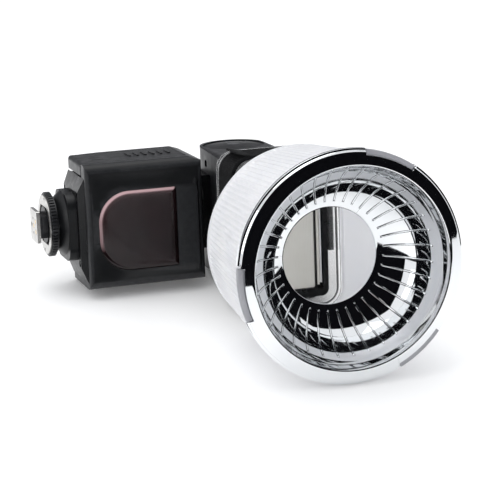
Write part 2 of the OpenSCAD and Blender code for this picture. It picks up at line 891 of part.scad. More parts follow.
module strap_loop() {
    x = pivot_x + collar_in[0] + collar_wall + 0.1 + strap_t + 0.1;
    color("#8a8d92") lying() difference() {
        block([x, x + 3], [strap_y[0] - 3, strap_y[1] + 3], [-14, 14]);
        block([x - 1, x + 4], [strap_y[0], strap_y[1]], [-11, -2]);
        block([x - 1, x + 4], [strap_y[0], strap_y[1]], [2, 11]);
    }
}

// Shoulder between the collar and the round wall of the cup.
module shoulder_form(grow) {
    hull() {
        along_y(collar_y[0] - 1.5, collar_y[0] - 0.1) collar_section(collar_wall + 2.6 + grow, $fn = HULL_FN);
        translate([pivot_x, -cup_back_y + 2, 0]) rotate([90, 0, 0]) cylinder(h = 2, r = cup_back_r + grow);
    }
}

module cup_tab(a) {
    translate([pivot_x, 0, 0]) rotate([90, 0, 0]) rotate([0, 0, a - tab_span / 2])
        rotate_extrude(angle = tab_span, $fn = 128)
            polygon([
                [tab_in_r, -cup_front_y - 2], [tab_in_r, rim_y - 0.1], [59.9, rim_y - 0.6],
                [59.9, -cup_front_y + 0.2], [58.4, -cup_front_y - 2]
            ]);
}

module diffuser_cup() {
    color("#eef0f2", 0.7) lying() {
        difference() {
            shoulder_form(0);
            shoulder_form(-1.6);
            along_y(collar_y[0] - 3, collar_y[0]) collar_section(0);
            translate([pivot_x, -cup_back_y + 0.01, 0]) rotate([90, 0, 0]) cylinder(h = 10, r = 49);
        }
        about_axis() polygon([
            [cup_back_r - cup_wall, cup_back_y - EPS], [cup_back_r, cup_back_y - EPS],
            [cup_front_r, -cup_front_y], [cup_front_r - cup_wall, -cup_front_y]
        ]);
        for (a = tab_angles) cup_tab(a);
    }
}

// Section of the bowl: a concave arc from the mouth to the hole, as (radius, distance forward).
function bowl_arc(shift) =
    let (
        dr = mouth_r - hole_r, dy = -mouth_y - hole_y, chord = sqrt(dr * dr + dy * dy),
        big = chord / 2 / sin(bowl_sweep / 2), mid_angle = atan2(dr, dy),
        cr = (mouth_r + hole_r) / 2 - big * cos(bowl_sweep / 2) * cos(mid_angle),
        cy = (-mouth_y + hole_y) / 2 + big * cos(bowl_sweep / 2) * sin(mid_angle)
    )
    arc_points(cr, cy, big + shift, -mid_angle + bowl_sweep / 2, -mid_angle - bowl_sweep / 2, 14);

module reflector_bowl() {
    notch = tab_span + 1.2;
    inner = bowl_arc(0);
    outer = bowl_arc(bowl_t);
    last = len(outer) - 1;
    color("whitesmoke") lying() difference() {
        about_axis() polygon(concat(
            inner,
            [[hole_r - 0.6, hole_y - 0.4], [hole_r - 0.6, hole_y - 1.4], [hole_r + 0.3, hole_y - 1.6]],
            [for (i = [last : -1 : 0]) outer[i]],
            [
                [52.3, rim_y - 3.9], [60.0, rim_y - 3.9], [rim_r, rim_y - 3.5], [rim_r, rim_y - 2.0],
                [59.0, rim_y - 1.6], [58.8, rim_y], [53.6, -lip_y - 0.3], [lip_r, -lip_y],
                [lip_r - 0.8, -lip_y - 0.6]
            ]
        ));
        for (a = tab_angles) translate([pivot_x, 0, 0]) rotate([90, 0, 0]) rotate([0, 0, a - notch / 2])
            rotate_extrude(angle = notch, $fn = 128)
                polygon([[tab_in_r - gap, rim_y - 6], [tab_in_r - gap, rim_y + 3], [66, rim_y + 3], [66, rim_y - 6]]);
    }
}

// ---- assembly ------------------------------------------------------------------------

foot_plate();
shoe_contacts();
shoe_block();
foot_screws();
lock_ring();
lock_ring_face();
lock_pin();
front_shell();
rear_shell();
end_plate();
body_screws();
sensor_window();
sensor_hood();
assist_lamp();
battery_holder();
battery_contacts();
aa_cells();
battery_door();
door_contact_plate();
door_hinge_pin();
main_board();
main_capacitor();
step_up_transformer();
control_board();
scale_plate();
mode_button();
power_up_button();
power_down_button();
pilot_button();
power_switch();
ready_lamps();
sync_socket();
port_cover();
swivel_race();
turntable();
swivel_neck();
neck_rear_cover();
pivot_pin();
head_upper_shell();
head_lower_shell();
pivot_caps();
tilt_lock_button();
ear_screws();
head_front_frame();
fresnel_lens();
tube_reflector();
flash_tube();
head_board();
wide_panel();
bounce_card();
adapter_collar();
grip_pads();
strap();
strap_tail();
strap_loop();
diffuser_cup();
reflector_bowl();
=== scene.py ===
"""Looks of a hot-shoe flash with a diffuser cup and a bowl reflector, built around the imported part."""
import json
import math

import bmesh
import bpy
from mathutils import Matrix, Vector, noise


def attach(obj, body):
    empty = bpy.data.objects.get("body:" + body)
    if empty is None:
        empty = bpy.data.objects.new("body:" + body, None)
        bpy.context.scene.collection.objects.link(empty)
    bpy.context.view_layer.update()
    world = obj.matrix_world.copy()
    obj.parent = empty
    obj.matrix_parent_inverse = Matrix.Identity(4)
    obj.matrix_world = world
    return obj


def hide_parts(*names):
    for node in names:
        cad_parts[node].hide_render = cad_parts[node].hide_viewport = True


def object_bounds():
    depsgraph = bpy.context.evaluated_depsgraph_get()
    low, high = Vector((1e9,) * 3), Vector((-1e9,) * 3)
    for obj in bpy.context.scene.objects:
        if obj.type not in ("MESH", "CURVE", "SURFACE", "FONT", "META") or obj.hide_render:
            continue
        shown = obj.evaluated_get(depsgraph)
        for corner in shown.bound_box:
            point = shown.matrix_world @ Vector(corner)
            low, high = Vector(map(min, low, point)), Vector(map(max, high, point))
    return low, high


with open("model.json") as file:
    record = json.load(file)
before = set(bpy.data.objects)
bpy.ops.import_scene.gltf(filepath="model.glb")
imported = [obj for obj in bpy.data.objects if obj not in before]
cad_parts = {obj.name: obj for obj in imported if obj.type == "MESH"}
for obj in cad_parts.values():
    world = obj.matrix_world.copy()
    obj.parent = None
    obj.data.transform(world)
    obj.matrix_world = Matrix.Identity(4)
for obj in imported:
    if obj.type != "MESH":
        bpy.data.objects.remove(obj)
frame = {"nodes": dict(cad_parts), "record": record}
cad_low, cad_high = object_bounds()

MM = 0.001
ROLL = math.radians(6.6)              # the flash lies rolled by this much about its own length
PIVOT_X = 122.7                       # the cup, bowl and head are centred on this level
NODES = frame["nodes"]
TAU = 2 * math.pi


# ---- geometry helpers ----------------------------------------------------------------

def lay(x, y, z):
    """A point on the flash's own axes, in millimetres, as a point in the row frame."""
    c, s = math.cos(ROLL), math.sin(ROLL)
    return Vector((x, y * c + z * s, -y * s + z * c)) * MM


def piece(name, points, faces, body, material, stands_for=(), sharp=40):
    mesh = bpy.data.meshes.new(name)
    mesh.from_pydata([lay(*p) for p in points], [], faces)
    mesh.validate()
    bm = bmesh.new()
    bm.from_mesh(mesh)
    bmesh.ops.recalc_face_normals(bm, faces=bm.faces)
    bm.to_mesh(mesh)
    bm.free()
    mesh.polygons.foreach_set("use_smooth", [True] * len(mesh.polygons))
    mesh.set_sharp_from_angle(angle=math.radians(sharp))
    mesh.materials.append(material)
    obj = bpy.data.objects.new(name, mesh)
    bpy.context.scene.collection.objects.link(obj)
    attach(obj, body)
    if stands_for:
        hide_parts(*stands_for)
    return obj


def grid_faces(rows, columns, wrap_rows, wrap_columns):
    faces = []
    for i in range(rows if wrap_rows else rows - 1):
        for j in range(columns if wrap_columns else columns - 1):
            a, b = i, (i + 1) % rows
            c, d = j, (j + 1) % columns
            faces.append((a * columns + c, a * columns + d, b * columns + d, b * columns + c))
    return faces


def soften(outline, radius, steps=3, closed=True):
    """Rounds each clear corner of an outline."""
    out, n = [], len(outline)
    for i, p in enumerate(outline):
        if not closed and i in (0, n - 1):
            out.append(p)
            continue
        p = Vector(p)
        a, b = Vector(outline[i - 1]) - p, Vector(outline[(i + 1) % n]) - p
        if a.length < 1e-6 or b.length < 1e-6 or a.angle(b) > math.radians(160):
            out.append(tuple(p))
            continue
        pa = p + a.normalized() * min(radius, a.length * 0.4)
        pb = p + b.normalized() * min(radius, b.length * 0.4)
        for k in range(steps + 1):
            t = k / steps
            out.append(tuple(pa * (1 - t) ** 2 + p * 2 * t * (1 - t) + pb * t * t))
    return out


def rounded_rect(u, v, r_low, r_high, inset=0.0, steps=10):
    """Outline of a rectangle with one radius at low u and one at high u."""
    u0, u1, v0, v1 = u[0] + inset, u[1] - inset, v[0] + inset, v[1] - inset
    rl, rh = max(r_low - inset, 0.3), max(r_high - inset, 0.3)
    points = []
    for cu, cv, r, start in ((u1 - rh, v1 - rh, rh, 0), (u0 + rl, v1 - rl, rl, 90),
                             (u0 + rl, v0 + rl, rl, 180), (u1 - rh, v0 + rh, rh, 270)):
        for k in range(steps + 1):
            a = math.radians(start + 90 * k / steps)
            points.append((cu + r * math.cos(a), cv + r * math.sin(a)))
    return points


def box_radius(angle, half_u, half_v, r):
    """Distance from the middle of a rounded rectangle to its edge in one direction."""
    cu, cv = abs(math.cos(angle)), abs(math.sin(angle))
    low, high = 0.0, half_u + half_v
    for _ in range(30):
        t = (low + high) / 2
        du, dv = t * cu - (half_u - r), t * cv - (half_v - r)
        d = math.hypot(max(du, 0), max(dv, 0)) + min(max(du, dv), 0) - r
        low, high = (t, high) if d < 0 else (low, t)
    return low


def about_axis(radius, forward, angle):
    return PIVOT_X + radius * math.cos(angle), -forward, radius * math.sin(angle)


# ---- material helpers ----------------------------------------------------------------

class Shader:
    """A material being built: the Principled shader and the textures that feed it."""

    def __init__(self, name, colour, roughness, **values):
        self.material = bpy.data.materials.new(name)
        self.material.use_nodes = True
        self.tree = self.material.node_tree
        self.out = next(n for n in self.tree.nodes if n.type == "BSDF_PRINCIPLED")
        self.put("Base Color", (*colour, 1))
        self.put("Roughness", roughness)
        for key, value in values.items():
            self.put(key.replace("_", " "), value)
        self.bump = None

    def put(self, socket, value):
        self.out.inputs[socket].default_value = value

    def link(self, a, b):
        self.tree.links.new(a, b)

    def node(self, kind, **values):
        n = self.tree.nodes.new(kind)
        for key, value in values.items():
            setattr(n, key, value)
        return n

    def where(self, scale=(1, 1, 1), turn=(0, 0, 0)):
        """Object coordinates, turned onto the flash's own axes and stretched."""
        coords = self.node("ShaderNodeTexCoord")
        mapping = self.node("ShaderNodeMapping")
        mapping.inputs["Scale"].default_value = scale
        mapping.inputs["Rotation"].default_value = (ROLL + turn[0], turn[1], turn[2])
        self.link(coords.outputs["Object"], mapping.inputs["Vector"])
        return mapping.outputs["Vector"]

    def cloud(self, size_mm, detail=3.0, stretch=(1, 1, 1), rough=0.55):
        n = self.node("ShaderNodeTexNoise")
        n.inputs["Scale"].default_value = 1000 / size_mm
        n.inputs["Detail"].default_value = detail
        n.inputs["Roughness"].default_value = rough
        self.link(self.where(stretch), n.inputs["Vector"])
        return n.outputs["Fac"]

    def bands(self, pitch_mm, axis="Y", distortion=0.0, profile="SIN", turn=(0, 0, 0)):
        n = self.node("ShaderNodeTexWave", wave_type="BANDS", bands_direction=axis, wave_profile=profile)
        n.inputs["Scale"].default_value = 1000 / pitch_mm * math.pi / 10
        n.inputs["Distortion"].default_value = distortion
        self.link(self.where(turn=turn), n.inputs["Vector"])
        return n.outputs["Fac"]

    def ramp(self, source, stops):
        n = self.node("ShaderNodeValToRGB")
        element = n.color_ramp.elements
        element[0].position, element[0].color = stops[0][0], (*stops[0][1], 1)
        element[1].position, element[1].color = stops[-1][0], (*stops[-1][1], 1)
        for position, colour in stops[1:-1]:
            e = element.new(position)
            e.color = (*colour, 1)
        self.link(source, n.inputs["Fac"])
        return n.outputs["Color"]

    def tint(self, source, low, high, a=0.3, b=0.7):
        """Base colour that drifts between two shades."""
        colour = self.ramp(source, [(a, low), (b, high)])
        self.link(colour, self.out.inputs["Base Color"])
        return colour

    def gloss(self, source, low, high, a=0.3, b=0.7):
        n = self.node("ShaderNodeMapRange")
        n.inputs["From Min"].default_value = a
        n.inputs["From Max"].default_value = b
        n.inputs["To Min"].default_value = low
        n.inputs["To Max"].default_value = high
        self.link(source, n.inputs["Value"])
        self.link(n.outputs["Result"], self.out.inputs["Roughness"])

    def relief(self, source, depth_mm, strength=1.0):
        n = self.node("ShaderNodeBump")
        n.inputs["Strength"].default_value = strength
        n.inputs["Distance"].default_value = depth_mm * MM
        self.link(source, n.inputs["Height"])
        if self.bump is not None:
            self.link(self.bump, n.inputs["Normal"])
        self.bump = n.outputs["Normal"]
        self.link(self.bump, self.out.inputs["Normal"])

    def worn_and_highlit_edges(self, base, edge, start=0.53, end=0.62):
        """Mixes a lighter shade in on convex edges, broken up by noise: partly wear, partly a painted edge
        highlight.
        """
        geometry = self.node("ShaderNodeNewGeometry")
        mask = self.node("ShaderNodeMapRange")
        mask.inputs["From Min"].default_value = start
        mask.inputs["From Max"].default_value = end
        self.link(geometry.outputs["Pointiness"], mask.inputs["Value"])
        broken = self.node("ShaderNodeMath", operation="MULTIPLY")
        self.link(mask.outputs["Result"], broken.inputs[0])
        self.link(self.cloud(2.5, 4), broken.inputs[1])
        mix = self.node("ShaderNodeMix", data_type="RGBA")
        self.link(broken.outputs[0], mix.inputs["Factor"])
        self.link(base, mix.inputs["A"])
        mix.inputs["B"].default_value = (*edge, 1)
        self.link(mix.outputs["Result"], self.out.inputs["Base Color"])


def shade(colour, factor):
    return tuple(min(1.0, c * factor) for c in colour)


def moulded(name, colour, roughness, grain_mm=0.35, grain_depth=0.02, edge=None, **values):
    """Moulded plastic: spark-eroded grain, slow drift of shade and gloss, paler edges that are partly wear
    and partly a painted edge highlight.
    """
    s = Shader(name, colour, roughness, **values)
    drift = s.cloud(14, 4)
    base = s.tint(drift, shade(colour, 0.82), shade(colour, 1.2))
    s.gloss(s.cloud(5, 5), roughness - 0.05, roughness + 0.07)
    s.relief(s.cloud(grain_mm, 2), grain_depth)
    s.worn_and_highlit_edges(base, edge or shade(colour, 2.2))
    return s.material


def metal(name, colour, roughness, brushed=None, **values):
    """Bare or plated metal, with brush lines along one axis or a faint all-over grain."""
    s = Shader(name, colour, roughness, Metallic=1.0, **values)
    stretch = brushed or (1, 1, 1)
    fine = s.cloud(0.5, 4, stretch)
    base = s.tint(s.cloud(6, 5), shade(colour, 0.86), shade(colour, 1.06))
    s.gloss(fine, roughness * 0.75, roughness * 1.35)
    s.relief(fine, 0.012)
    # paler convex edges: wear and a painted edge highlight
    s.worn_and_highlit_edges(base, shade(colour, 1.3))
    return s.material


def chrome_material():
    """Mirror plating over moulded plastic: faint flow waviness and dust-fine haze."""
    s = Shader("chrome_plastic", (0.82, 0.84, 0.85), 0.045, Metallic=1.0)
    s.tint(s.cloud(30, 3), (0.79, 0.81, 0.825), (0.86, 0.87, 0.88))
    s.gloss(s.cloud(7, 6), 0.025, 0.06)
    s.relief(s.cloud(24, 1), 0.006)
    s.relief(s.cloud(0.8, 3), 0.0005)
    return s.material


def frosted_material(name, low, high, glow):
    """Frosted plastic of the cup: milky, lets light through, with faint flow marks, and a painted glow
    (emission) that brightens it though it is no lamp.
    """
    s = Shader(name, high, 0.34, IOR=1.42)
    s.put("Transmission Weight", 0.5)
    # painted light: emission makes the frosted plastic glow, though it is no lamp
    s.put("Emission Color", (0.97, 0.98, 1.0, 1))
    s.put("Emission Strength", glow)
    s.tint(s.cloud(22, 4), low, high)
    s.gloss(s.cloud(4, 5), 0.28, 0.42)
    s.relief(s.cloud(0.5, 3), 0.012)
    return s.material


def clear_material(name, colour, roughness):
    """Clear plastic or glass, a little uneven in gloss and surface."""
    s = Shader(name, colour, roughness, IOR=1.45)
    s.put("Transmission Weight", 0.92)
    s.tint(s.cloud(18, 3), shade(colour, 0.95), shade(colour, 1.03))
    s.gloss(s.cloud(5, 5), roughness * 0.7, roughness * 1.6)
    s.relief(s.cloud(3, 3), 0.015)
    return s.material


def window_material():
    """Deep red, nearly black gloss window; its polished bevel has a painted highlight, a pale pink base
    colour where it faces up and left.
    """
    s = Shader("tinted_window", (0.02, 0.006, 0.008), 0.08, IOR=1.5)
    s.put("Transmission Weight", 0.25)
    s.put("Specular IOR Level", 0.3)
    shades = s.ramp(s.cloud(26, 3), [(0.3, (0.006, 0.003, 0.0035)), (0.7, (0.014, 0.005, 0.006))])
    # painted highlight: faces turned up and left, toward the lamps, get a pale pink base colour
    coords = s.node("ShaderNodeTexCoord")
    painted_highlight_facing = s.node("ShaderNodeVectorMath", operation="DOT_PRODUCT")
    painted_highlight_facing.inputs[1].default_value = (-0.42, -0.1, 0.9)
    s.link(coords.outputs["Normal"], painted_highlight_facing.inputs[0])
    mask = s.node("ShaderNodeMapRange")
    mask.inputs["From Min"].default_value = 0.2
    mask.inputs["From Max"].default_value = 0.72
    s.link(painted_highlight_facing.outputs["Value"], mask.inputs["Value"])
    mix = s.node("ShaderNodeMix", data_type="RGBA")
    s.link(mask.outputs["Result"], mix.inputs["Factor"])
    s.link(shades, mix.inputs["A"])
    mix.inputs["B"].default_value = (0.7, 0.46, 0.48, 1)
    s.link(mix.outputs["Result"], s.out.inputs["Base Color"])
    s.gloss(s.cloud(3, 6), 0.06, 0.14)
    s.relief(s.cloud(12, 2), 0.006)
    return s.material


def webbing_material():
    """Ribbed black webbing: lengthwise cords, crossing yarns and a soft nap."""
    s = Shader("strap_fabric", (0.018, 0.018, 0.02), 0.85)
    s.put("Sheen Weight", 0.02)
    s.put("Sheen Roughness", 0.5)
    s.put("Specular IOR Level", 0.08)
    s.tint(s.cloud(3, 5), (0.004, 0.004, 0.0045), (0.011, 0.011, 0.012))
    s.relief(s.bands(0.9, "X", 0.6), 0.10, 0.6)
    s.relief(s.bands(0.9, "Z", 0.6), 0.10, 0.6)
    s.relief(s.cloud(0.25, 3), 0.08)
    return s.material


def rubber_material():
    """Matt black rubber with a fine pebbled surface."""
    s = Shader("soft_black", (0.02, 0.02, 0.021), 0.72)
    s.tint(s.cloud(6, 4), (0.015, 0.015, 0.016), (0.028, 0.028, 0.03))
    s.gloss(s.cloud(2, 4), 0.62, 0.82)
    s.relief(s.cloud(0.3, 2), 0.03)
    return s.material


def board_material():
    """Circuit board: solder mask with copper tracks showing as raised bands."""
    s = Shader("board_green", (0.03, 0.14, 0.06), 0.35)
    tracks = s.bands(2.2, "X", 3.0, "SAW")
    s.tint(tracks, (0.02, 0.10, 0.045), (0.05, 0.2, 0.09), 0.45, 0.55)
    s.relief(tracks, 0.04)
    return s.material


def lens_material():
    """Slightly yellowed, ribbed lens panel with a faint painted glow (emission) that brightens it."""
    s = Shader("lens_clear", (0.88, 0.87, 0.82), 0.2, IOR=1.47)
    s.put("Transmission Weight", 0.25)
    # painted light: a faint emission brightens the lens, though the flash is not lit
    s.put("Emission Color", (1.0, 0.98, 0.94, 1))
    s.put("Emission Strength", 0.08)
    s.tint(s.cloud(20, 3), (0.84, 0.83, 0.78), (0.92, 0.91, 0.87))
    s.relief(s.cloud(1.0, 3), 0.02)
    return s.material


def make_materials():
    black = (0.0065, 0.007, 0.008)
    return {
        # edge shades of black_shell and ring_black: paler convex edges, partly wear and partly a painted edge
        # highlight
        "black_shell": moulded("black_shell", black, 0.34, edge=(0.03, 0.031, 0.034), Specular_IOR_Level=0.3),
        "black_trim": moulded("black_trim", shade(black, 0.8), 0.3, 0.6, 0.008, Specular_IOR_Level=0.3),
        "soft_black": rubber_material(),
        "ring_black": moulded("ring_black", (0.009, 0.0095, 0.011), 0.32, 0.3, 0.01, (0.06, 0.062, 0.07),
                              Specular_IOR_Level=0.4),
        "bright_steel": metal("bright_steel", (0.6, 0.59, 0.57), 0.3, (1, 14, 1)),
        "dark_steel": metal("dark_steel", (0.12, 0.12, 0.125), 0.3),
        "chrome_plastic": chrome_material(),
        "tinted_window": window_material(),
        "lamp_red": moulded("lamp_red", (0.3, 0.015, 0.025), 0.12, 1.5, 0.004),
        "key_grey": moulded("key_grey", (0.05, 0.052, 0.056), 0.42, 0.3, 0.02),
        "panel_grey": moulded("panel_grey", (0.04, 0.043, 0.048), 0.16, 2.0, 0.004),
        "holder_black": moulded("holder_black", (0.02, 0.02, 0.022), 0.5, 0.5, 0.03),
        "contact_gold": metal("contact_gold", (0.8, 0.6, 0.28), 0.22),
        "cell_metal": metal("cell_metal", (0.3, 0.32, 0.36), 0.3, (1, 1, 10)),
        "board_green": board_material(),
        "cap_sleeve": moulded("cap_sleeve", (0.02, 0.023, 0.035), 0.2, 1.2, 0.006),
        "lens_clear": lens_material(),
        "tube_glass": clear_material("tube_glass", (0.85, 0.92, 0.95), 0.03),
        "reflector_metal": metal("reflector_metal", (0.85, 0.85, 0.85), 0.12, (1, 8, 1)),
        "card_white": moulded("card_white", (0.82, 0.82, 0.81), 0.5, 0.5, 0.01),
        "collar_clear": clear_material("collar_clear", (0.98, 0.985, 0.99), 0.05),
        "cup_frosted": frosted_material("cup_frosted", (0.90, 0.905, 0.93), (0.97, 0.97, 0.98), 0.055),
        # tab_frosted is a darker grey copy of the cup's frosted plastic: painted shade on the tabs
        "tab_frosted": frosted_material("tab_frosted", (0.38, 0.38, 0.41), (0.52, 0.52, 0.55), 0.0),
        "strap_fabric": webbing_material(),
    }


# ---- CAD nodes -----------------------------------------------------------------------

EDGE_MM = {"lock_ring": 0.12, "foot_plate": 0.25, "lock_ring_face": 0.15, "battery_door": 0.25,
           "front_shell": 0.3, "rear_shell": 0.3, "head_front_frame": 0.35, "adapter_collar": 0.4,
           "shoe_block": 0.8, "ear_screws": 0.1, "end_plate": 0.2}


def dress_frame(materials):
    """Every CAD node gets its slot's material, and softened edges that catch the light."""
    slot_of = {p["node"]: p["material_slot"] for p in frame["record"]["subparts"]}
    for name, obj in NODES.items():
        mesh = obj.data
        mesh.materials.clear()
        mesh.materials.append(materials[slot_of[name]])
        for layer in ("custom_normal", "sharp_edge", "sharp_face"):
            if layer in mesh.attributes:
                mesh.attributes.remove(mesh.attributes[layer])
        mesh.polygons.foreach_set("use_smooth", [True] * len(mesh.polygons))
        weld = obj.modifiers.new("weld", "WELD")
        weld.merge_threshold = 0.002 * MM
        bevel = obj.modifiers.new("edges", "BEVEL")
        bevel.width = EDGE_MM.get(name, 0.15) * MM
        bevel.segments = 3
        bevel.limit_method = "ANGLE"
        bevel.angle_limit = math.radians(32)
        bevel.harden_normals = True
        bevel.use_clamp_overlap = True


# ---- the bowl reflector --------------------------------------------------------------

RIDGES = 36
RIDGE_HALF = 0.6                      # half the width of a ridge
RIDGE_HEIGHT = 0.5
NUDGE = 0.0006                        # angle between the doubled columns at a notch's end
RIM_Y = 186.8
MOUTH = (50.5, 180.0)                 # radius and distance forward
HOLE = (26.1, 154.8)
BOWL_SWEEP = math.radians(60)
TAB_ANGLES = (68, 188, 308)
TAB_SPAN = 26
NOTCH_R = 57.0


def bowl_arc(shift, steps):
    """The bowl's section from mouth to hole, as radius and distance forward."""
    dr, dy = MOUTH[0] - HOLE[0], MOUTH[1] - HOLE[1]
    chord = math.hypot(dr, dy)
    big, mid = chord / 2 / math.sin(BOWL_SWEEP / 2), math.atan2(dr, dy)
    reach = big * math.cos(BOWL_SWEEP / 2)
    cr = (MOUTH[0] + HOLE[0]) / 2 - reach * math.cos(mid)
    cy = (MOUTH[1] + HOLE[1]) / 2 + reach * math.sin(mid)
    points = []
    for i in range(steps + 1):
        a = -mid + BOWL_SWEEP / 2 - BOWL_SWEEP * i / steps
        points.append((cr + (big + shift) * math.cos(a), cy + (big + shift) * math.sin(a)))
    return points, (cr, cy)


def bowl_columns():
    """Columns round the bowl, as (ridge angle, offset in mm, further turn)."""
    columns = []
    for k in range(RIDGES):
        centre = TAU * (k + 0.5) / RIDGES
        for offset in (-0.62, -0.46, -0.3, -0.14, 0, 0.14, 0.3, 0.46, 0.62):
            columns.append((centre, offset, 0.0))
        for j in range(1, 8):
            columns.append((centre, 0.0, TAU / RIDGES * (0.09 + 0.82 * j / 8)))
    return columns


def reflector(materials):
    """Chrome bowl with raised ridges, and a rim that is notched where the tabs sit."""
    steps = 72
    inner, centre = bowl_arc(0, steps)
    outer = bowl_arc(1.2, 30)[0]
    cone = (RIM_Y + (58.8 - NOTCH_R) / 5.2 * 2.4)
    tail = [(HOLE[0] - 0.5, HOLE[1] - 0.3), (HOLE[0] - 0.7, HOLE[1] - 0.9), (HOLE[0] - 0.3, HOLE[1] - 1.4),
            (HOLE[0] + 0.4, HOLE[1] - 1.6)]
    flange = [(52.3, RIM_Y - 3.9), (NOTCH_R, RIM_Y - 3.9), (60.0, RIM_Y - 3.9), (60.35, RIM_Y - 3.55),
              (60.35, RIM_Y - 2.1), (60.2, RIM_Y - 1.75), (59.3, RIM_Y - 1.45), (59.1, RIM_Y - 1.2),
              (59.0, RIM_Y - 0.35), (58.75, RIM_Y - 0.05), (58.4, RIM_Y + 0.16), (NOTCH_R, cone),
              (54.0, RIM_Y + 2.2), (53.5, RIM_Y + 2.45), (53.0, RIM_Y + 2.62), (52.5, RIM_Y + 2.68),
              (52.1, RIM_Y + 2.5), (51.9, RIM_Y + 2.1), (51.5, RIM_Y - 1.0), (51.2, RIM_Y - 4.5),
              (50.8, RIM_Y - 6.2)]
    profile = inner + tail + outer[::-1] + flange
    notches = [math.radians(a) for a in TAB_ANGLES]
    half = math.radians(TAB_SPAN / 2 + 0.6)
    angles = bowl_columns()
    for a in notches:
        for edge in (a - half, a + half):
            for nudge in (-NUDGE, NUDGE):
                angles.append((edge + nudge, 0.0, 0.0))
    angles.sort(key=lambda c: c[0] % TAU + c[1] / 45 + c[2])
    first, last = 0.16 * steps, 0.93 * steps
    points = []
    for i, (r, f) in enumerate(profile):
        for ridge, offset, turn in angles:
            a = ridge + turn + offset / max(r, 20)
            rr, ff = r, f
            on_ridge = abs(ridge % (TAU / RIDGES) - TAU / RIDGES / 2) < 1e-6
            if i <= steps and turn == 0.0 and abs(offset) < RIDGE_HALF and on_ridge:
                ends = min(1.0, max(0.0, (i - first) / 1.6), max(0.0, (last - i) / 1.6))
                height = RIDGE_HEIGHT * math.sqrt(max(0.0, 1 - (offset / RIDGE_HALF) ** 2)) * math.sqrt(ends)
                nr, nf = centre[0] - r, centre[1] - f
                length = math.hypot(nr, nf)
                rr, ff = r + nr / length * height, f + nf / length * height
            gap = min(abs((a - n + math.pi) % TAU - math.pi) for n in notches)
            if rr > NOTCH_R and gap < half:
                rr = NOTCH_R
            points.append(about_axis(rr, ff, a))
    faces = grid_faces(len(profile), len(angles), True, True)
    return piece("reflector_chrome", points, faces, "reflector", materials["chrome_plastic"],
                 ["reflector_bowl"], 28)


# ---- the diffuser cup ----------------------------------------------------------------

FLUTES = 120
FLUTE_DEPTH = 0.8


def diffuser(materials):
    """Frosted cup: a shoulder from the collar's rounded square to a round wall with fine flutes."""
    columns = FLUTES * 6
    wall = 1.8
    rows = [("box", 1.0, -1.6, 99.3), ("box", 1.0, -0.3, 99.0), ("box", 1.0, 0.0, 99.6),
            ("box", 1.0, 0.0, 100.4)]
    rows += [("mix", t, 0.0, 100.5 + 7.2 * t ** 1.3) for t in (0.15, 0.3, 0.45, 0.6, 0.75, 0.88, 0.96)]
    rows += [("round", 0, 0.0, f) for f in (108.2, 108.8, 109.6, 112.4, 113.0, 113.8, 115)]
    rows += [("round", 0, 0.0, 115 + 4 * k) for k in range(1, 16)]
    rows += [("round", 0, 0.0, f) for f in (177.6, 178.4, 179.2, 181.8, 182.4)]
    rows += [("round", 0, -0.3, 182.6), ("round", 0, -wall + 0.3, 182.6), ("round", 0, -wall, 182.3)]
    rows += [("round", 0, -wall, f) for f in (170, 150, 130, 112, 109.5)]
    rows += [("mix", t, -wall, 102.2 + 6.6 * t ** 1.3) for t in (0.93, 0.8, 0.6, 0.4, 0.2)]
    points = []
    for kind, t, grow, f in rows:
        for j in range(columns):
            a = TAU * j / columns
            square = box_radius(a, 28.4, 43.1, 12.2)
            ring = 51.7 + (58.6 - 51.7) * max(0.0, f - 109) / (182.6 - 109)
            if kind == "box":
                r = square + grow
            elif kind == "mix":
                r = square + (51.7 - square) * math.sin(t * math.pi / 2) + grow
            else:
                r = ring + grow
                if grow == 0.0 and 112.8 < f < 178.8:
                    depth = FLUTE_DEPTH * min(1.0, (f - 112.6) / 1.2, (179.0 - f) / 1.2)
                    r -= depth * (0.5 + 0.5 * math.cos(FLUTES * a))
            points.append(about_axis(r, f, a))
    faces = grid_faces(len(rows), columns, True, True)
    return piece("cup_frosted_shell", points, faces, "diffuser", materials["cup_frosted"],
                 ["diffuser_cup"], 50)


def cup_tabs(materials):
    """The three frosted tabs that close over the chrome rim."""
    section = soften([(57.3, 180.8), (57.3, RIM_Y - 0.25), (59.9, RIM_Y - 0.6), (59.9, 182.8),
                      (58.5, 180.8)], 0.35)
    points, faces, steps = [], [], 28
    for a in TAB_ANGLES:
        base = len(points)
        for j in range(steps + 1):
            turn = math.radians(a - TAB_SPAN / 2 + TAB_SPAN * j / steps)
            points += [about_axis(r, f, turn) for r, f in section]
        n = len(section)
        for face in grid_faces(steps + 1, n, False, True):
            faces.append(tuple(base + v for v in face))
        faces.append(tuple(base + k for k in range(n)))
        faces.append(tuple(base + steps * n + k for k in range(n)))
    return piece("cup_tabs", points, faces, "diffuser", materials["tab_frosted"],
                 ["diffuser_cup"])


# ---- the strap -----------------------------------------------------------------------

